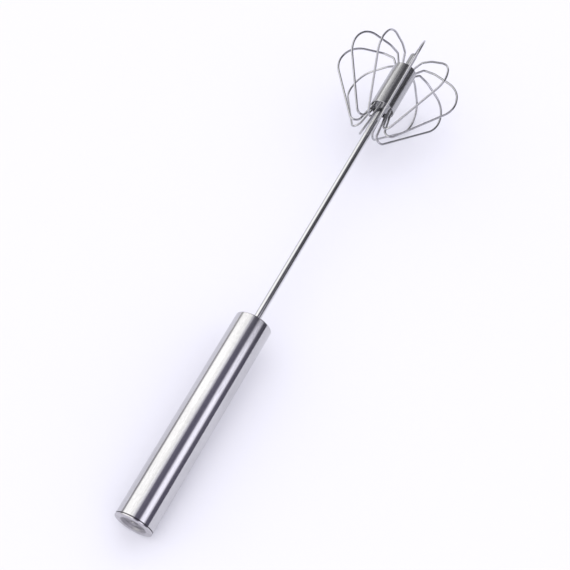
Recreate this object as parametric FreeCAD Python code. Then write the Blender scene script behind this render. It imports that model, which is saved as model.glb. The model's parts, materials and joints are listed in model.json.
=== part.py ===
import FreeCAD, Part
import math
import os
from FreeCAD import Vector

# A push-down rotary whisk, lying on its side. Millimetres.
#
# Every piece is first built about the X axis: x runs from the end cap's outer
# face, through the handle, shaft and whisk head, to the tip. lay_down() then
# tips the whole object until the cap's rim and the two lowest wire loops touch
# the plane z = 0, and centres it.
#
# Pushing the handle towards the whisk slides the shaft into the handle. The
# drive nut on the shaft's end runs along a twisted strip fixed to the end cap,
# so the shaft and head spin, and the return spring pushes them out again.

# ---- driving dimensions ----
HANDLE_D = 19.0
HANDLE_WALL = 0.6
HANDLE_END = 113.0
SHAFT_D = 3.8
SHAFT_WALL = 0.35
HUB_D = 13.4
HUB_WALL = 0.5
HUB_NEAR = 257.6
HUB_FAR = 286.8
SHAFT_END = 287.8
TIP_END = 300.0
TRAVEL = 60.0

# ---- fits ----
PRESS_GAP = 0.02
BUSH_GAP = 0.06
SLIDE_GAP = 0.4
END_GAP = 0.3

# ---- end cap and the strip's anchor ----
CAP_LIP = 0.8
CAP_EDGE_ROUND = 0.35
SEAM_ROUND = 0.25
SEAM_GAP = 0.1
CAP_SKIRT_END = 6.0
CAP_SKIRT_WALL = 1.0
DISH_R = 6.1
DISH_FLOOR_R = 5.2
DISH_DEPTH = 1.1
DISH_SHEET = 0.8
RIVET_R = 1.0
RIVET_HEAD_R = 1.7
RIVET_HEAD = 0.75
RIVET_END = 7.0
ANCHOR_FLANGE_R = 7.6
ANCHOR_FLANGE_END = 4.0
ANCHOR_BOSS_R = 5.0
ANCHOR_END = 13.0

# ---- twisted drive strip ----
STRIP_START = 8.0
STRIP_END = 95.5
STRIP_WIDTH = 2.3
STRIP_THICK = 0.7
STRIP_LEAD = 45.0
STRIP_PIN_R = 0.5
STRIP_PIN_X = 10.6
STRIP_PIN_INSET = 0.1

# ---- sliding parts inside the handle ----
NUT_BACK = 84.0
NUT_FRONT = 96.0
NUT_FLOOR = 1.2
NUT_LAND = 2.5
NUT_WAIST_R = 5.6
SLOT_WIDTH = 2.6
SLOT_THICK = 1.05
SEAT_GAP = 0.1
SEAT_R = 7.8
SEAT_THICK = 1.0
SEAT_BOSS_R = 5.0
SEAT_BOSS = 2.0
SEAT_BORE_R = 2.2
SPRING_R = 6.0
SPRING_WIRE_R = 0.35
SPRING_TURNS = 16

# ---- handle's front end ----
RIM_THICK = 0.8
RIM_R = 7.0
RIM_ROUND = 0.6
BUSH_NOSE_R = 6.9
BUSH_INSET = 0.1

# ---- tip ----
SHAFT_END_ROUND = 0.3
SPIGOT_LENGTH = 6.0
TIP_ROUND = 1.85

# ---- whisk head ----
CORE_LENGTH = 8.0
CORE_RECESS_NEAR = 1.5
CORE_RECESS_FAR = 1.0
LOOP_COUNT = 10
LOOP_WIRE_R = 0.6
LOOP_ROOT_R = 5.56
LOOP_ROOT_DEPTH = 6.0
FIRST_LOOP_ANGLE = 18.0
GROOVE_FLARE = 0.4
# The wires are set by hand: degrees that each loop stands off its even place,
# degrees that its near end is twisted round from the rest of it, how much
# further than most its near bend reaches towards the handle, and how much
# further out from the shaft than most its two outer bends stand.
LOOP_LEAN = [-2, 0, 0, 2, -1.5, 0, -1, 2, 2, -2.5]
LOOP_TWIST = [8, 5, 4, 25, 18, 22, 17, 6, 6, 13]
LOOP_REACH = [0, 1.6, 0.8, 1.3, -1.8, -0.5, 0, 0, -1.2, 0]
LOOP_SPREAD = [0, -1.8, 0, 0, 0, 0, 0, 0.9, 0.9, 0]
# One loop's corners from mouth to mouth of the hub: distance past the hub's
# near mouth, distance from the shaft's axis, and bend radius.
LOOP_CORNERS = [
    (-1.6, LOOP_ROOT_R, 3.0),
    (-18.0, 8.6, 3.2),
    (17.4, 34.4, 13.8),
    (31.0, 30.7, 11.4),
    (34.8, 15.1, 10.0),
    (34.6, 9.0, 1.9),
    (30.0, LOOP_ROOT_R, 2.2),
]
NEAR_BEND = 1
OUTER_BENDS = (2, 3)

# ---- search for the tilt it rests at ----
STEEPEST_TILT = 15.0
TILT_HALVINGS = 40
PATH_POINTS = 600

AXIS = Vector(1, 0, 0)
ORIGIN = Vector(0, 0, 0)
TUBE_IN_R = HANDLE_D / 2 - HANDLE_WALL
SHAFT_R = SHAFT_D / 2
HUB_IN_R = HUB_D / 2 - HUB_WALL


def around(x, r, degrees=0.0):
    """Point at radius r, turned from straight up towards -Y."""
    angle = math.radians(degrees)
    return Vector(x, -r * math.sin(angle), r * math.cos(angle))


def rounded_path(corners, closed):
    """Wire through (point, radius) corners, each corner an arc."""
    points = [point for point, radius in corners]
    last = len(points) - 1
    stops = []
    for i, (point, radius) in enumerate(corners):
        if radius == 0 or (not closed and i in (0, last)):
            stops.append((points[i], None, points[i]))
            continue
        back = (points[i - 1] - points[i]).normalize()
        ahead = (points[(i + 1) % len(points)] - points[i]).normalize()
        half = back.getAngle(ahead) / 2
        reach = radius / math.tan(half)
        centre = points[i] + (back + ahead).normalize() * (radius / math.sin(half))
        middle = centre + (points[i] - centre).normalize() * radius
        stops.append((points[i] + back * reach, middle, points[i] + ahead * reach))
    edges = []
    for i, (start, middle, end) in enumerate(stops):
        if middle is not None:
            edges.append(Part.Arc(start, middle, end).toShape())
        if i < last or closed:
            following = stops[(i + 1) % len(stops)][0]
            edges.append(Part.LineSegment(end, following).toShape())
    return Part.Wire(edges)


def turned(corners):
    """Solid of revolution about the X axis from a closed (x, r, radius) outline."""
    outline = [(around(x, r), radius) for x, r, radius in corners]
    return Part.Face(rounded_path(outline, True)).revolve(ORIGIN, AXIS, 360)


def tube(start, end, outer_r, inner_r, outer_round=0.0):
    return turned([
        (start, inner_r, 0),
        (start, outer_r, outer_round),
        (end, outer_r, outer_round),
        (end, inner_r, 0),
    ])


def cylinder(start, end, radius, offset=0.0):
    return Part.makeCylinder(radius, end - start, Vector(start, 0, offset), AXIS)


def slab(start, end, thick, low, high):
    """Box along the X axis, thick in Y, from low to high in Z."""
    return Part.makeBox(end - start, thick, high - low, Vector(start, -thick / 2, low))


def turn(shape, degrees):
    copy = shape.copy()
    copy.rotate(ORIGIN, AXIS, degrees)
    return copy


# ---- handle ----

def handle_tube():
    """Thin tube whose front end is rolled in over the guide bush."""
    outer = HANDLE_D / 2
    return turned([
        (CAP_LIP + SEAM_GAP, TUBE_IN_R, 0),
        (CAP_LIP + SEAM_GAP, outer, SEAM_ROUND),
        (HANDLE_END, outer, RIM_ROUND),
        (HANDLE_END, RIM_R, 0.2),
        (HANDLE_END - RIM_THICK, RIM_R, 0),
        (HANDLE_END - RIM_THICK, TUBE_IN_R, 0),
    ])


def end_cap():
    """Pressed cap: a lip as wide as the handle, a skirt inside it and a shallow dish."""
    skirt = TUBE_IN_R - PRESS_GAP
    inside = DISH_DEPTH + DISH_SHEET
    return turned([
        (0, DISH_R, 0.3),
        (0, HANDLE_D / 2, CAP_EDGE_ROUND),
        (CAP_LIP, HANDLE_D / 2, SEAM_ROUND),
        (CAP_LIP, skirt, 0),
        (CAP_SKIRT_END, skirt, 0.2),
        (CAP_SKIRT_END, skirt - CAP_SKIRT_WALL, 0.2),
        (inside, skirt - CAP_SKIRT_WALL, 0.4),
        (inside, RIVET_R + PRESS_GAP, 0),
        (DISH_DEPTH, RIVET_R + PRESS_GAP, 0),
        (DISH_DEPTH, DISH_FLOOR_R, 0.5),
    ])


def cap_rivet():
    """Drive rivet through the dish into the anchor, with a low domed head."""
    top = DISH_DEPTH - RIVET_HEAD
    return turned([
        (top, 0, 0),
        (top, RIVET_HEAD_R, 0.7),
        (DISH_DEPTH, RIVET_HEAD_R, 0),
        (DISH_DEPTH, RIVET_R, 0),
        (RIVET_END, RIVET_R, 0.4),
        (RIVET_END, 0, 0),
    ])


def strip_anchor():
    """Moulded plug behind the cap: holds the strip's end and seats the spring."""
    back = DISH_DEPTH + DISH_SHEET + PRESS_GAP
    body = turned([
        (back, 0, 0),
        (back, ANCHOR_FLANGE_R, 0.4),
        (ANCHOR_FLANGE_END, ANCHOR_FLANGE_R, 0.4),
        (ANCHOR_FLANGE_END, ANCHOR_BOSS_R, 0),
        (ANCHOR_END, ANCHOR_BOSS_R, 0.8),
        (ANCHOR_END, 0, 0),
    ])
    rivet_hole = cylinder(back, RIVET_END + PRESS_GAP, RIVET_R + PRESS_GAP)
    half_width = STRIP_WIDTH / 2 + PRESS_GAP
    slot = slab(STRIP_START - PRESS_GAP, ANCHOR_END, STRIP_THICK + 2 * PRESS_GAP, -half_width, half_width)
    pin_hole = cross_pin(STRIP_PIN_R + PRESS_GAP, ANCHOR_FLANGE_R)
    return body.cut(rivet_hole).cut(slot).cut(pin_hole)


def cross_pin(radius, reach):
    """Pin across the boss and the strip's flat end."""
    return Part.makeCylinder(radius, 2 * reach, Vector(STRIP_PIN_X, -reach, 0), Vector(0, 1, 0))


def strip_pin():
    return cross_pin(STRIP_PIN_R, ANCHOR_BOSS_R - STRIP_PIN_INSET)


def drive_strip():
    """Flat strip, straight where it is anchored, then twisted at an even lead."""
    half_width = STRIP_WIDTH / 2
    half_thick = STRIP_THICK / 2
    spine = Part.Wire(Part.makeLine(Vector(ANCHOR_END, 0, 0), Vector(STRIP_END, 0, 0)))
    guide = Part.makeHelix(STRIP_LEAD, STRIP_END - ANCHOR_END, half_width)
    guide.rotate(ORIGIN, Vector(0, 1, 0), 90)
    guide.rotate(ORIGIN, AXIS, 180)
    guide.translate(Vector(ANCHOR_END, 0, 0))
    section = Part.makePolygon([
        Vector(ANCHOR_END, -half_thick, -half_width),
        Vector(ANCHOR_END, half_thick, -half_width),
        Vector(ANCHOR_END, half_thick, half_width),
        Vector(ANCHOR_END, -half_thick, half_width),
        Vector(ANCHOR_END, -half_thick, -half_width),
    ])
    sweep = Part.BRepOffsetAPI.MakePipeShell(spine)
    sweep.setAuxiliarySpine(Part.Wire(guide.Edges), False, 0)
    sweep.add(section)
    sweep.build()
    sweep.makeSolid()
    flat_end = slab(STRIP_START, ANCHOR_END, STRIP_THICK, -half_width, half_width)
    pin_hole = cross_pin(STRIP_PIN_R + PRESS_GAP, ANCHOR_BOSS_R)
    return sweep.shape().fuse(flat_end).cut(pin_hole)


def strip_angle(x):
    """How far the strip has turned about the X axis at x, in degrees."""
    return 360 * (x - ANCHOR_END) / STRIP_LEAD


def return_spring():
    """Compression spring between the anchor's flange and the spring seat, ends ground flat."""
    start = ANCHOR_FLANGE_END + PRESS_GAP
    end = NUT_BACK - SEAT_GAP - SEAT_THICK - PRESS_GAP
    pitch = (end - start) / SPRING_TURNS
    coil = Part.makeHelix(pitch, end - start, SPRING_R)
    coil.rotate(ORIGIN, Vector(0, 1, 0), 90)
    coil.translate(Vector(start, 0, 0))
    first = coil.Vertexes[0].Point
    circle = Part.Wire(Part.makeCircle(SPRING_WIRE_R, first, Vector(0, 1, 0)))
    wire = Part.Wire(coil.Edges).makePipeShell([circle], True, True)
    outer = SPRING_R + 2 * SPRING_WIRE_R
    return wire.common(cylinder(start, end, outer))


def front_bush():
    """Guide bush that the shaft slides and turns in, held by the rolled rim."""
    back = NUT_FRONT + END_GAP
    shoulder = HANDLE_END - RIM_THICK - PRESS_GAP
    return turned([
        (back, SHAFT_R + BUSH_GAP, 0),
        (back, TUBE_IN_R - PRESS_GAP, 0.5),
        (shoulder, TUBE_IN_R - PRESS_GAP, 0),
        (shoulder, BUSH_NOSE_R, 0),
        (HANDLE_END - BUSH_INSET, BUSH_NOSE_R, 0.3),
        (HANDLE_END - BUSH_INSET, SHAFT_R + BUSH_GAP, 0),
    ])


# ---- sliding and spinning parts ----

def spring_seat():
    """Washer that slides with the nut without turning, so the spring never winds up."""
    front = NUT_BACK - SEAT_GAP
    return turned([
        (front, SEAT_BORE_R, 0),
        (front, SEAT_R, 0.2),
        (front - SEAT_THICK, SEAT_R, 0.2),
        (front - SEAT_THICK, SEAT_BOSS_R, 0),
        (front - SEAT_THICK - SEAT_BOSS, SEAT_BOSS_R, 0.5),
        (front - SEAT_THICK - SEAT_BOSS, SEAT_BORE_R, 0),
    ])


def drive_nut():
    """Nut on the shaft's end: its slotted floor follows the twisted strip."""
    land_r = TUBE_IN_R - SLIDE_GAP
    body = turned([
        (NUT_BACK, 0, 0),
        (NUT_BACK, land_r, 0.4),
        (NUT_BACK + NUT_LAND, land_r, 0.2),
        (NUT_BACK + NUT_LAND, NUT_WAIST_R, 0.5),
        (NUT_FRONT - NUT_LAND, NUT_WAIST_R, 0.5),
        (NUT_FRONT - NUT_LAND, land_r, 0.2),
        (NUT_FRONT, land_r, 0.4),
        (NUT_FRONT, 0, 0),
    ])
    bore = cylinder(NUT_BACK + NUT_FLOOR, NUT_FRONT, SHAFT_R + PRESS_GAP)
    slot = slab(NUT_BACK, NUT_BACK + NUT_FLOOR, SLOT_THICK, -SLOT_WIDTH / 2, SLOT_WIDTH / 2)
    return body.cut(bore).cut(turn(slot, strip_angle(NUT_BACK + NUT_FLOOR / 2)))


def shaft_tube():
    start = NUT_BACK + NUT_FLOOR + PRESS_GAP
    return tube(start, SHAFT_END, SHAFT_R, SHAFT_R - SHAFT_WALL, SHAFT_END_ROUND)


def tip_plug():
    """Round-nosed plug, as thick as the shaft, that stands on the bowl's floor."""
    shoulder = SHAFT_END + PRESS_GAP
    spigot = SHAFT_R - SHAFT_WALL - PRESS_GAP
    return turned([
        (shoulder - SPIGOT_LENGTH, 0, 0),
        (shoulder - SPIGOT_LENGTH, spigot, SHAFT_END_ROUND),
        (shoulder, spigot, 0),
        (shoulder, SHAFT_R, SHAFT_END_ROUND),
        (TIP_END, SHAFT_R, TIP_ROUND),
        (TIP_END, 0, 0),
    ])


def hub_sleeve():
    return turned([
        (HUB_NEAR, HUB_IN_R, 0.15),
        (HUB_NEAR, HUB_D / 2, 0.25),
        (HUB_FAR, HUB_D / 2, 0.25),
        (HUB_FAR, HUB_IN_R, 0.15),
    ])


def loop_angle(index):
    """Angle of a loop's plane about the X axis, from straight up, in degrees."""
    return FIRST_LOOP_ANGLE + index * 360 / LOOP_COUNT + LOOP_LEAN[index]


def near_angle(index):
    return loop_angle(index) + LOOP_TWIST[index]


def hub_core(start, outside, angle_of):
    """Grooved disc on the shaft that traps the wires' ends against the sleeve.

    Each groove flares where it opens on the disc's outside face.
    """
    outer = HUB_IN_R - PRESS_GAP
    core = tube(start, start + CORE_LENGTH, outer, SHAFT_R + PRESS_GAP, 0.3)
    groove_r = LOOP_WIRE_R + PRESS_GAP
    groove = cylinder(start, start + CORE_LENGTH, groove_r, LOOP_ROOT_R)
    mouth = slab(start, start + CORE_LENGTH, 2 * groove_r, LOOP_ROOT_R, HUB_D / 2)
    inward = AXIS if outside == start else -AXIS
    flare = Part.makeCone(
        groove_r + GROOVE_FLARE, groove_r, GROOVE_FLARE, Vector(outside, 0, LOOP_ROOT_R), inward)
    groove = groove.fuse(mouth).fuse(flare)
    for index in range(LOOP_COUNT):
        core = core.cut(turn(groove, angle_of(index)))
    return core


def hub_core_near():
    start = HUB_NEAR + CORE_RECESS_NEAR
    return hub_core(start, start, near_angle)


def hub_core_far():
    end = HUB_FAR - CORE_RECESS_FAR
    return hub_core(end - CORE_LENGTH, end, loop_angle)


def loop_path(index):
    """Centre line of one wire loop, from the near end of the hub to the far end."""
    near, middle = near_angle(index), loop_angle(index)
    path = [(around(HUB_NEAR + LOOP_ROOT_DEPTH, LOOP_ROOT_R, near), 0)]
    for i, (x, r, radius) in enumerate(LOOP_CORNERS):
        reach = LOOP_REACH[index] if i == NEAR_BEND else 0
        spread = LOOP_SPREAD[index] if i in OUTER_BENDS else 0
        angle = near if i <= NEAR_BEND else middle
        path.append((around(HUB_NEAR + x - reach, r + spread, angle), radius))
    path.append((around(HUB_FAR - LOOP_ROOT_DEPTH, LOOP_ROOT_R, middle), 0))
    return rounded_path(path, False)


def wire_loop(index):
    root = around(HUB_NEAR + LOOP_ROOT_DEPTH, LOOP_ROOT_R, near_angle(index))
    circle = Part.Wire(Part.makeCircle(LOOP_WIRE_R, root, AXIS))
    return loop_path(index).makePipeShell([circle], True, False)


# ---- laying the object down ----

def lowest(points, tilt):
    """Lowest height among points once the object is tipped by tilt degrees."""
    rise = math.sin(math.radians(tilt))
    level = math.cos(math.radians(tilt))
    return min(p.x * rise + p.z * level for p in points)


def rest_tilt():
    """Tilt, tip end up, at which the cap's rim and the lowest loop touch the floor."""
    loops = [point for i in range(LOOP_COUNT) for point in loop_path(i).discretize(PATH_POINTS)]
    rim = [Vector(CAP_EDGE_ROUND, 0, CAP_EDGE_ROUND - HANDLE_D / 2)]
    low, high = 0.0, STEEPEST_TILT
    for halving in range(TILT_HALVINGS):
        tilt = (low + high) / 2
        loop_height = lowest(loops, tilt) - LOOP_WIRE_R
        rim_height = lowest(rim, tilt) - CAP_EDGE_ROUND
        if loop_height < rim_height:
            low = tilt
        else:
            high = tilt
    return (low + high) / 2


def lay_down(shapes, tilt):
    """Tip every shape, then put the lowest point on z = 0 and centre the box on the origin."""
    for shape in shapes.values():
        shape.rotate(ORIGIN, Vector(0, 1, 0), -tilt)
    box = Part.makeCompound(list(shapes.values())).optimalBoundingBox(False)
    shift = Vector(-(box.XMin + box.XMax) / 2, -(box.YMin + box.YMax) / 2, -box.ZMin)
    for shape in shapes.values():
        shape.translate(shift)
    return shift


def build():
    makers = [
        handle_tube, end_cap, cap_rivet, strip_anchor, strip_pin, drive_strip, front_bush,
        return_spring, spring_seat, drive_nut, shaft_tube, tip_plug, hub_sleeve,
        hub_core_near, hub_core_far,
    ]
    shapes = {maker.__name__: maker() for maker in makers}
    for index in range(LOOP_COUNT):
        shapes["wire_loop_%02d" % (index + 1)] = wire_loop(index)
    return shapes


parts = build()
tilt = rest_tilt()
shift = lay_down(parts, tilt)
os.makedirs("parts", exist_ok=True)
for name, shape in parts.items():
    if len(shape.Solids) == 1:
        shape = shape.Solids[0]
    shape.exportStep("parts/%s.step" % name)
    print(name, "solids", len(shape.Solids), "valid", shape.isValid(), "volume", round(shape.Volume, 1))
print("tilt", round(tilt, 4), "shift", [round(v, 4) for v in shift])
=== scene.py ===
import bpy
import json
import math
from mathutils import Matrix, Quaternion, Vector


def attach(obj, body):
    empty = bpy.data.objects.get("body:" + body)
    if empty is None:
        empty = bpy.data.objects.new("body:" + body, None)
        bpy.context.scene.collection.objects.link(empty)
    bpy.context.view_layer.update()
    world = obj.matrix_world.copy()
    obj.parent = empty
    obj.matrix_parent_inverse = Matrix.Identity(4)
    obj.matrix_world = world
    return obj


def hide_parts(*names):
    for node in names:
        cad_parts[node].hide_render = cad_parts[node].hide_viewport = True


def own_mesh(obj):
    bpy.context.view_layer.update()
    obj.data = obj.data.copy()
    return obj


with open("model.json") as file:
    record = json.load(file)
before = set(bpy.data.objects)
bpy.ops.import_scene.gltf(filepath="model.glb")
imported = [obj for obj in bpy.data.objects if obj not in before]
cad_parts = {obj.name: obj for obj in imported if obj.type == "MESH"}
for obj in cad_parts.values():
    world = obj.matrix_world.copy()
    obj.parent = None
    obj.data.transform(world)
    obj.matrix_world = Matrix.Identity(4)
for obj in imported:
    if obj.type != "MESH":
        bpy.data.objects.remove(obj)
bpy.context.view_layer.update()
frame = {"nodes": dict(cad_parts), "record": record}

# A push-down rotary whisk of polished stainless steel, lying on a pale floor.
# Metres, in the CAD model's frame.

MM = 0.001

# ---- view ----
VIEW_AZIMUTH = -67.27
VIEW_ELEVATION = 55.85
VIEW_ROLL = 5.22
VIEW_DISTANCE = 616.8 * MM
VIEW_TARGET = Vector((-13.45, -5.06, 25.0)) * MM
LENS = 80.84
SENSOR = 36.0
CLIP_NEAR = 0.01
CLIP_FAR = 50.0

# ---- floor ----
FLOOR_SIZE = 8.0
FLOOR_COLOUR = (0.805, 0.797, 0.89)
FLOOR_ROUGHNESS = 0.9

# ---- plain light ----
# The sky gives an even fill and a wide key light overhead, which fades out where
# the cosine of the angle from it is KEY_EDGE. THROWN_LIGHT is added to the sky
# where the floor sees it in the steel, for the light that steel throws on a floor.
FILL_STRENGTH = 1.155
KEY_STRENGTH = 0.35
KEY_DIRECTION = Vector((0.03, 0.1, 1.0)).normalized()
KEY_EDGE = 0.75
THROWN_LIGHT = 0.8

# ---- studio, seen only in the steel ----
# Brightness by the direction's angle about the whisk: 0 is straight up, negative is
# the +Y side. Each stop is (degrees, brightness), up to BRIGHTEST. The handle sees
# a wide softbox on the +Y side and a narrow one on the -Y side, with the dark of
# the room between them and down to the floor. The shaft and the head see less.
BRIGHTEST = 3.0
HANDLE_BANDS = [
    (-180, 0.9), (-94, 1.0), (-89, 0.6), (-81, 0.35), (-77, 0.85), (-71, 1.75), (-60, 1.75),
    (-40, 1.8), (-25, 1.5), (-15, 1.42), (-8, 1.32), (-4, 0.8), (0, 0.22), (8, 0.19), (22, 0.16),
    (28, 0.3), (33, 1.1), (40, 1.6), (52, 1.65), (60, 1.15), (66, 0.22), (72, 0.15), (95, 0.12),
    (104, 0.7), (180, 0.7),
]
SHAFT_BANDS = [
    (-180, 0.9), (-92, 0.9), (-86, 0.6), (-80, 0.8), (-68, 1.55), (-40, 1.6), (-28, 1.45),
    (-12, 1.05), (2, 0.18), (20, 0.1), (96, 0.05), (106, 0.7), (180, 0.7),
]
HEAD_BANDS = [
    (-180, 0.7), (-92, 0.7), (-86, 0.6), (-76, 0.9), (-66, 2.35), (-58, 1.6), (-46, 0.76),
    (-34, 0.36), (-20, 0.12), (-8, 0.06), (25, 0.06), (32, 0.6), (42, 0.7), (50, 0.08),
    (80, 0.08), (94, 0.3), (104, 0.7), (180, 0.7),
]
# One set of bands gives way to the next as directions lean further to the tip.
HANDLE_TO_SHAFT = (0.405, 0.425)
SHAFT_TO_HEAD = (0.55, 0.60)
# The light is warm on the +Y side and cool past it. The handle's dark bands are
# lilac: light counts as dark up to the first share of BRIGHTEST, as lit from the next.
WARM_SIDE = (1.0, 0.995, 0.985)
COOL_SIDE = (0.985, 0.965, 1.09)
DARK_ROOM = (0.97, 0.90, 1.28)
WARM_TO_COOL = (math.radians(-25), math.radians(5))
DARK_TO_LIT = (0.06, 0.2)

# ---- grain and marks ----
# Scales are in features per metre, along the whisk and then in both ways across it.
# Most of a noise's values lie in NOISE_RANGE.
NOISE_RANGE = (0.3, 0.7)
NOISE_ROUGHNESS = 0.55
BROAD_DETAIL = 3.0
GRAIN_DETAIL = 4.0
FINE_DETAIL = 5.0

# ---- handle finish, its grain's depth in millimetres ----
HANDLE_COLOUR = (0.62, 0.615, 0.625)
HANDLE_GRAIN = (45, 4200, 4200)
HANDLE_MOTTLE = (500, 1400, 1400)
HANDLE_SMUDGE = (25, 60, 60)
HANDLE_MARK_SHARE = 0.8
HANDLE_WEAR_RANGE = (0.95, 1.65)
HANDLE_TONE = (0.76, 1.0)
HANDLE_TOUCH = (30, 80, 80)
HANDLE_TOUCH_RANGE = (0.35, 0.7)
HANDLE_ROUGHNESS = (0.08, 0.13)
HANDLE_SCUFFS = (90, 1500, 1500)
HANDLE_SCUFF_RANGE = (0.58, 0.75)
HANDLE_SCUFF_ROUGHNESS = (0.0, 0.12)
HANDLE_GRAIN_DEPTH = 0.005

# ---- painted shade in the seam between handle and cap, in millimetres from the cap's face to its middle ----
SEAM_X = 0.85
SEAM_HALF = 0.15
# Near-black painted shade in the seam, which is also the dark end of the handle's and cap's grain and
# marks.
PAINTED_SEAM_SHADE_AND_GRAIN_DARK = (0.06, 0.055, 0.065)

# ---- cap finish, radii and depth in millimetres ----
# CAP_RINGS are to a metre of radius. The dish is darkened by painted shade, which ends across DISH_EDGE,
# and the cap's
# round edge starts at SIDE_R: past it the steel is smoother and painted shade in the seam can show.
CAP_COLOUR = (0.60, 0.585, 0.605)
CAP_RINGS = 4500.0
CAP_WEAR = (260, 260, 260)
CAP_WEAR_RANGE = (0.7, 1.3)
CAP_TONE = (0.65, 1.0)
CAP_ROUGHNESS = (0.2, 0.3)
CAP_RING_DEPTH = 0.012
DISH_EDGE = (6.2, 7.0)
# Painted shade in the recess: the dish's colour is dimmed to this share.
PAINTED_DISH_SHADE = 0.6
DISH_ROUGHER = 0.15
SIDE_R = 9.1
SIDE_STEP = 0.1
SIDE_POLISH_STEP = 0.3
SIDE_SMOOTHER = -0.13

# ---- plain steels ----
# Each has the colours of the dips and the ridges of its grain, its smoothest and
# its roughest, the grain's scale, and the grain's depth in millimetres.
PLAIN_STEELS = {
    "shaft_steel": ((0.56, 0.56, 0.57), (0.66, 0.66, 0.67), (0.08, 0.15), (50, 6000, 6000), 0.003),
    "hub_steel": ((0.36, 0.36, 0.37), (0.47, 0.47, 0.48), (0.13, 0.22), (80, 5000, 5000), 0.005),
    "wire_steel": ((0.40, 0.40, 0.41), (0.52, 0.52, 0.53), (0.04, 0.09), (2500, 2500, 2500), 0.003),
    "satin_steel": ((0.25, 0.25, 0.26), (0.36, 0.36, 0.37), (0.30, 0.42), (4000, 4000, 4000), 0.02),
    "strip_steel": ((0.52, 0.52, 0.53), (0.62, 0.62, 0.63), (0.20, 0.30), (60, 5000, 5000), 0.004),
    "spring_steel": ((0.42, 0.41, 0.41), (0.55, 0.54, 0.54), (0.24, 0.34), (3000, 3000, 3000), 0.006),
}

# ---- white plastic, its texture's depth in millimetres ----
PLASTIC_COLOURS = ((0.80, 0.80, 0.77), (0.87, 0.87, 0.85))
PLASTIC_CLOUD = (150, 150, 150)
PLASTIC_FINE = (6000, 6000, 6000)
PLASTIC_ROUGHNESS = (0.38, 0.5)
PLASTIC_DEPTH = 0.01

# ---- return spring, in millimetres along and across the whisk ----
SPRING_START = 4.02
SPRING_END = 82.88
SPRING_R = 6.0
SPRING_WIRE_R = 0.35
SPRING_TURNS = 16
STEPS_PER_TURN = 48
WIRE_SIDES = 12


# ---- the whisk's own axes, from the record ----

def whisk_axes():
    """Matrix from the whisk's own axes (x from cap to tip, z up) to the CAD model's frame."""
    mounts = {mount["name"]: mount for mount in frame["record"]["mounts"]}
    along = -Vector(mounts["handle_grip"]["axis"]).normalized()
    middle = Vector(mounts["handle_grip"]["pos_m"])
    cap = Vector(mounts["cap_face"]["pos_m"])
    origin = middle + along * (cap - middle).dot(along)
    side = Vector((0, 1, 0))
    up = along.cross(side).normalized()
    axes = Matrix((along, side, up)).transposed().to_4x4()
    axes.translation = origin
    return axes


AXES = whisk_axes()


# ---- node helpers ----

def add(tree, kind, inputs=None, **settings):
    """New shader node. An input given as a socket is linked, any other is set."""
    node = tree.nodes.new("ShaderNode" + kind)
    for name, value in settings.items():
        setattr(node, name, value)
    for name, value in (inputs or {}).items():
        if isinstance(value, bpy.types.NodeSocket):
            tree.links.new(value, node.inputs[name])
        else:
            node.inputs[name].default_value = value
    return node


def maths(tree, operation, first, second=0.0, third=0.0):
    return add(tree, "Math", {0: first, 1: second, 2: third}, operation=operation).outputs[0]


def ramp(tree, value, across, ends=(0.0, 1.0)):
    """Value carried from the pair across to the pair ends, and held past both."""
    inputs = {
        "Value": value, "From Min": across[0], "From Max": across[1], "To Min": ends[0], "To Max": ends[1],
    }
    return add(tree, "MapRange", inputs).outputs["Result"]


def blend_colour(tree, factor, first, second):
    """From the first colour to the second. Each is a plain colour or a socket."""
    mix = tree.nodes.new("ShaderNodeMix")
    mix.data_type = "RGBA"
    tree.links.new(factor, mix.inputs[0])
    for socket, colour in ((mix.inputs[6], first), (mix.inputs[7], second)):
        if isinstance(colour, bpy.types.NodeSocket):
            tree.links.new(colour, socket)
        else:
            socket.default_value = (*colour, 1)
    return mix.outputs[2]


def own_coords(tree):
    """Coordinates in the whisk's own axes: x along it, y and z across it."""
    inputs = {
        "Vector": add(tree, "TexCoord").outputs["Object"],
        "Location": AXES.translation,
        "Rotation": AXES.to_euler(),
    }
    return add(tree, "Mapping", inputs, vector_type="TEXTURE").outputs[0]


def noise(tree, coords, scale, detail=BROAD_DETAIL):
    """Noise with its own scale along each axis, in features per metre."""
    stretched = add(tree, "Mapping", {"Vector": coords, "Scale": scale}).outputs[0]
    inputs = {"Vector": stretched, "Scale": 1.0, "Detail": detail, "Roughness": NOISE_ROUGHNESS}
    return add(tree, "TexNoise", inputs).outputs[0]


def radius_from_axis(tree, coords):
    split = add(tree, "SeparateXYZ", {0: coords})
    squares = [maths(tree, "MULTIPLY", split.outputs[i], split.outputs[i]) for i in (1, 2)]
    return maths(tree, "SQRT", maths(tree, "ADD", *squares))


def new_material(name):
    """New material, with its node tree and its main shader."""
    material = bpy.data.materials.new(name)
    material.use_nodes = True
    tree = material.node_tree
    return material, tree, tree.nodes["Principled BSDF"]


def add_relief(tree, shader, height, depth):
    """Bumps that follow height, as deep as depth in millimetres."""
    bump = add(tree, "Bump", {"Height": height, "Strength": 1.0, "Distance": depth * MM})
    tree.links.new(bump.outputs[0], shader.inputs["Normal"])


# ---- materials ----

def steel(name, dark, light, tone, roughness, height, depth):
    """Metal whose colour follows tone and whose surface follows height, depth in millimetres.

    tone, roughness and height are functions of the tree and its coordinates.
    """
    material, tree, shader = new_material(name)
    shader.inputs["Metallic"].default_value = 1.0
    coords = own_coords(tree)
    tree.links.new(blend_colour(tree, tone(tree, coords), dark, light), shader.inputs["Base Color"])
    tree.links.new(roughness(tree, coords), shader.inputs["Roughness"])
    add_relief(tree, shader, height(tree, coords), depth)
    return material


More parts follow.
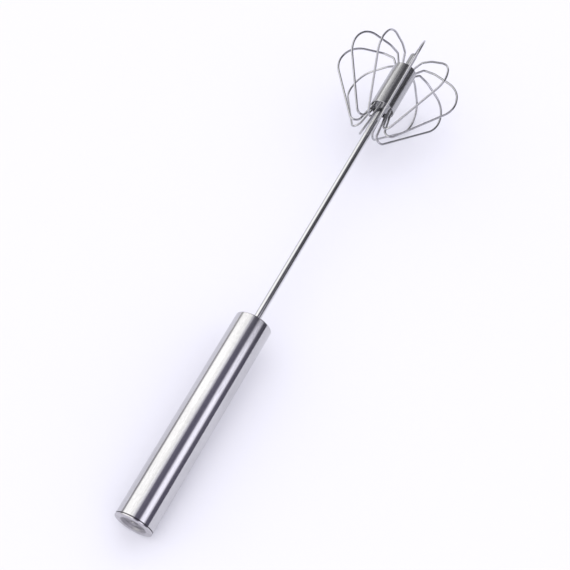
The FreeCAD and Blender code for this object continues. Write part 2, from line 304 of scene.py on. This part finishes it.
def off_painted_seam_shade(tree, coords):
    """0 in the seam between the tube and its cap, where its shade is painted, 1 away from it."""
    along = add(tree, "SeparateXYZ", {0: coords}).outputs["X"]
    distance = maths(tree, "ABSOLUTE", maths(tree, "SUBTRACT", along, SEAM_X * MM))
    return ramp(tree, distance, (SEAM_HALF * MM, 2 * SEAM_HALF * MM))


def handle_steel():
    """Polished tube: fine grain along it, scuffs, faint smudges from hands, and painted shade in the seam
    at its cap.
    """
    def grain(tree, coords):
        return noise(tree, coords, HANDLE_GRAIN, FINE_DETAIL)

    def tone(tree, coords):
        smudge = noise(tree, coords, HANDLE_SMUDGE)
        mottle = maths(tree, "MULTIPLY", noise(tree, coords, HANDLE_MOTTLE), HANDLE_MARK_SHARE)
        worn = maths(tree, "MULTIPLY_ADD", grain(tree, coords), HANDLE_MARK_SHARE, mottle)
        clean = ramp(tree, maths(tree, "ADD", worn, smudge), HANDLE_WEAR_RANGE, HANDLE_TONE)
        # Painted shade: near black in the seam to the cap.
        return maths(tree, "MULTIPLY", clean, off_painted_seam_shade(tree, coords))

    def roughness(tree, coords):
        touch = ramp(tree, noise(tree, coords, HANDLE_TOUCH), HANDLE_TOUCH_RANGE, HANDLE_ROUGHNESS)
        marks = noise(tree, coords, HANDLE_SCUFFS, FINE_DETAIL)
        scuffs = ramp(tree, marks, HANDLE_SCUFF_RANGE, HANDLE_SCUFF_ROUGHNESS)
        return maths(tree, "ADD", touch, scuffs)

    return steel("handle_steel", PAINTED_SEAM_SHADE_AND_GRAIN_DARK, HANDLE_COLOUR, tone, roughness, grain, HANDLE_GRAIN_DEPTH)


def cap_steel():
    """Pressed cap: satin face with a turned grain of rings, duller dish darkened by painted shade,
    polished side with painted shade in the seam.
    """
    dish_edge = tuple(radius * MM for radius in DISH_EDGE)
    side_edge = (SIDE_R * MM, (SIDE_R + SIDE_STEP) * MM)
    polish_edge = (SIDE_R * MM, (SIDE_R + SIDE_POLISH_STEP) * MM)

    def rings(tree, coords):
        turns = maths(tree, "MULTIPLY", radius_from_axis(tree, coords), CAP_RINGS)
        inputs = {"W": turns, "Scale": 1.0, "Detail": GRAIN_DETAIL}
        return add(tree, "TexNoise", inputs, noise_dimensions="1D").outputs[0]

    def tone(tree, coords):
        worn = maths(tree, "ADD", rings(tree, coords), noise(tree, coords, CAP_WEAR))
        clean = ramp(tree, worn, CAP_WEAR_RANGE, CAP_TONE)
        radius = radius_from_axis(tree, coords)
        # Painted shade: darker over the dish.
        dish_shade = ramp(tree, radius, dish_edge, (PAINTED_DISH_SHADE, 1.0))
        # Painted shade in the seam shows only past the face, on the cap's round side.
        inside = ramp(tree, radius, side_edge, (1.0, 0.0))
        seam_shade_mask = maths(tree, "MAXIMUM", inside, off_painted_seam_shade(tree, coords))
        return maths(tree, "MULTIPLY", maths(tree, "MULTIPLY", clean, dish_shade), seam_shade_mask)

    def roughness(tree, coords):
        radius = radius_from_axis(tree, coords)
        face = ramp(tree, rings(tree, coords), NOISE_RANGE, CAP_ROUGHNESS)
        dull = ramp(tree, radius, dish_edge, (DISH_ROUGHER, 0.0))
        polished = ramp(tree, radius, polish_edge, (0.0, SIDE_SMOOTHER))
        return maths(tree, "ADD", maths(tree, "ADD", face, dull), polished)

    return steel("cap_steel", PAINTED_SEAM_SHADE_AND_GRAIN_DARK, CAP_COLOUR, tone, roughness, rings, CAP_RING_DEPTH)


def plain_steel(name, dark, light, rough, scale, depth):
    """Drawn or tumbled metal: one grain in tone, roughness and height."""
    def grain(tree, coords):
        return noise(tree, coords, scale, GRAIN_DETAIL)

    def tone(tree, coords):
        return ramp(tree, grain(tree, coords), NOISE_RANGE)

    def roughness(tree, coords):
        return ramp(tree, grain(tree, coords), NOISE_RANGE, rough)

    return steel(name, dark, light, tone, roughness, grain, depth)


def white_plastic():
    """Moulded acetal, faintly cloudy, with a fine matt texture."""
    material, tree, shader = new_material("white_plastic")
    coords = own_coords(tree)
    cloud = ramp(tree, noise(tree, coords, PLASTIC_CLOUD), NOISE_RANGE)
    fine = noise(tree, coords, PLASTIC_FINE)
    tree.links.new(blend_colour(tree, cloud, *PLASTIC_COLOURS), shader.inputs["Base Color"])
    tree.links.new(ramp(tree, fine, NOISE_RANGE, PLASTIC_ROUGHNESS), shader.inputs["Roughness"])
    add_relief(tree, shader, fine, PLASTIC_DEPTH)
    return material


def make_materials():
    materials = {name: plain_steel(name, *finish) for name, finish in PLAIN_STEELS.items()}
    materials["handle_steel"] = handle_steel()
    materials["cap_steel"] = cap_steel()
    materials["white_plastic"] = white_plastic()
    return materials


def dress_nodes(materials):
    """Give each CAD node the material that its slot in the record names."""
    for part in frame["record"]["subparts"]:
        node = frame["nodes"][part["node"]]
        node.data.materials.clear()
        node.data.materials.append(materials[part["material_slot"]])
        node.data.polygons.foreach_set("material_index", [0] * len(node.data.polygons))


# ---- return spring ----

def coil_rows():
    """Rings of points round the coil's wire, cut flat at both ends."""
    rows = []
    steps = SPRING_TURNS * STEPS_PER_TURN
    for step in range(steps + 1):
        turn = 2 * math.pi * step / STEPS_PER_TURN
        centre = SPRING_START + step / steps * (SPRING_END - SPRING_START)
        outward = Vector((0, math.cos(turn), math.sin(turn)))
        row = []
        for side in range(WIRE_SIDES):
            angle = 2 * math.pi * side / WIRE_SIDES
            point = outward * (SPRING_R + SPRING_WIRE_R * math.cos(angle))
            x = centre + SPRING_WIRE_R * math.sin(angle)
            point.x = min(max(x, SPRING_START), SPRING_END)
            row.append(AXES @ (point * MM))
        rows.append(row)
    return rows


def tube_of_rows(name, rows):
    """Closed smooth mesh through rows of points, with a flat face on each end."""
    count = len(rows[0])
    points = [point for row in rows for point in row]
    faces = []
    for r in range(len(rows) - 1):
        for c in range(count):
            following = (c + 1) % count
            near, far = r * count, (r + 1) * count
            faces.append((near + c, near + following, far + following, far + c))
    last = (len(rows) - 1) * count
    faces.append(tuple(reversed(range(count))))
    faces.append(tuple(range(last, last + count)))
    mesh = bpy.data.meshes.new(name)
    mesh.from_pydata(points, [], faces)
    mesh.validate()
    mesh.shade_smooth()
    piece = bpy.data.objects.new(name, mesh)
    bpy.context.scene.collection.objects.link(piece)
    return piece


def return_spring(material):
    """Round wire coil, carried with the handle. The real coil closes up as the handle is pushed; this one
    keeps its length.
    """
    spring = tube_of_rows("return_coil", coil_rows())
    spring.data.materials.append(material)
    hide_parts("return_spring")
    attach(spring, "handle")
    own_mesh(spring)


# ---- studio ----

def band_curve(tree, turn, bands):
    """Brightness looked up through the given stops, turn going from 0 to 1 round the whisk."""
    curve = add(tree, "FloatCurve", {"Value": turn})
    points = curve.mapping.curves[0].points
    stops = [((degrees + 180) / 360, brightness / BRIGHTEST) for degrees, brightness in bands]
    points[0].location, points[1].location = stops[0], stops[-1]
    for x, y in stops[1:-1]:
        points.new(x, y)
    for point in points:
        point.handle_type = "VECTOR"
    curve.mapping.update()
    return curve.outputs[0]


def tinted(tree, colour, strength):
    return add(tree, "Background", {"Color": colour, "Strength": strength}).outputs[0]


def studio_in_steel(tree, direction):
    """Softboxes and the dark room between them, each part of the whisk with its own bands."""
    inputs = {"Vector": direction, "Rotation": AXES.to_euler()}
    own = add(tree, "Mapping", inputs, vector_type="TEXTURE").outputs[0]
    split = add(tree, "SeparateXYZ", {0: own}).outputs
    down_y = maths(tree, "MULTIPLY", split["Y"], -1.0)
    angle = maths(tree, "ARCTAN2", down_y, split["Z"])
    turn = ramp(tree, angle, (-math.pi, math.pi))
    handle = band_curve(tree, turn, HANDLE_BANDS)
    shaft = band_curve(tree, turn, SHAFT_BANDS)
    head = band_curve(tree, turn, HEAD_BANDS)
    past_handle = ramp(tree, split["X"], HANDLE_TO_SHAFT)
    past_shaft = ramp(tree, split["X"], SHAFT_TO_HEAD)
    behind_head = add(tree, "Mix", {0: past_handle, 2: handle, 3: shaft}).outputs[0]
    bands = add(tree, "Mix", {0: past_shaft, 2: behind_head, 3: head}).outputs[0]
    lit = blend_colour(tree, ramp(tree, angle, WARM_TO_COOL), WARM_SIDE, COOL_SIDE)
    unlit = blend_colour(tree, past_handle, DARK_ROOM, COOL_SIDE)
    tint = blend_colour(tree, ramp(tree, bands, DARK_TO_LIT), unlit, lit)
    return tinted(tree, tint, maths(tree, "MULTIPLY", bands, BRIGHTEST))


def plain_sky(tree, direction, glossy):
    """White sky that lights the scene, brighter overhead and where the floor sees it in steel."""
    towards_key = add(tree, "VectorMath", {0: direction, 1: KEY_DIRECTION}, operation="DOT_PRODUCT")
    key = ramp(tree, towards_key.outputs["Value"], (KEY_EDGE, 1.0), (0.0, KEY_STRENGTH))
    thrown = maths(tree, "MULTIPLY_ADD", glossy, THROWN_LIGHT, key)
    return tinted(tree, (1, 1, 1, 1), maths(tree, "ADD", thrown, FILL_STRENGTH))


def make_world():
    """Plain sky for all light, except what the camera sees in the steel.

    A glossy ray comes straight from the camera if it has no diffuse bounce behind it.
    """
    world = bpy.data.worlds.new("studio")
    bpy.context.scene.world = world
    world.use_nodes = True
    tree = world.node_tree
    tree.nodes.clear()
    direction = add(tree, "TexCoord").outputs["Generated"]
    path = add(tree, "LightPath").outputs
    straight = maths(tree, "LESS_THAN", path["Diffuse Depth"], 0.5)
    in_steel = maths(tree, "MULTIPLY", path["Is Glossy Ray"], straight)
    sky = plain_sky(tree, direction, path["Is Glossy Ray"])
    mix = add(tree, "MixShader", {0: in_steel, 1: sky, 2: studio_in_steel(tree, direction)})
    add(tree, "OutputWorld", {"Surface": mix.outputs[0]})


def make_floor():
    half = FLOOR_SIZE / 2
    corners = [(-half, -half, 0), (half, -half, 0), (half, half, 0), (-half, half, 0)]
    mesh = bpy.data.meshes.new("floor")
    mesh.from_pydata(corners, [], [(0, 1, 2, 3)])
    floor = bpy.data.objects.new("floor", mesh)
    bpy.context.scene.collection.objects.link(floor)
    material, _, shader = new_material("floor_paper")
    shader.inputs["Base Color"].default_value = (*FLOOR_COLOUR, 1)
    shader.inputs["Roughness"].default_value = FLOOR_ROUGHNESS
    shader.inputs["Specular IOR Level"].default_value = 0.0
    mesh.materials.append(material)


def make_camera():
    data = bpy.data.cameras.new("camera")
    data.lens = LENS
    data.sensor_width = SENSOR
    data.clip_start = CLIP_NEAR
    data.clip_end = CLIP_FAR
    camera = bpy.data.objects.new("camera", data)
    bpy.context.scene.collection.objects.link(camera)
    azimuth, elevation = math.radians(VIEW_AZIMUTH), math.radians(VIEW_ELEVATION)
    level = math.cos(elevation)
    back = Vector((math.sin(azimuth) * level, -math.cos(azimuth) * level, math.sin(elevation)))
    camera.rotation_mode = "QUATERNION"
    roll = Quaternion((0, 0, 1), math.radians(VIEW_ROLL))
    camera.rotation_quaternion = (-back).to_track_quat("-Z", "Y") @ roll
    camera.location = VIEW_TARGET + back * VIEW_DISTANCE
    bpy.context.scene.camera = camera


make_camera()
make_world()
make_floor()
MATERIALS = make_materials()
dress_nodes(MATERIALS)
return_spring(MATERIALS["spring_steel"])
bpy.context.scene.view_settings.view_transform = "Standard"
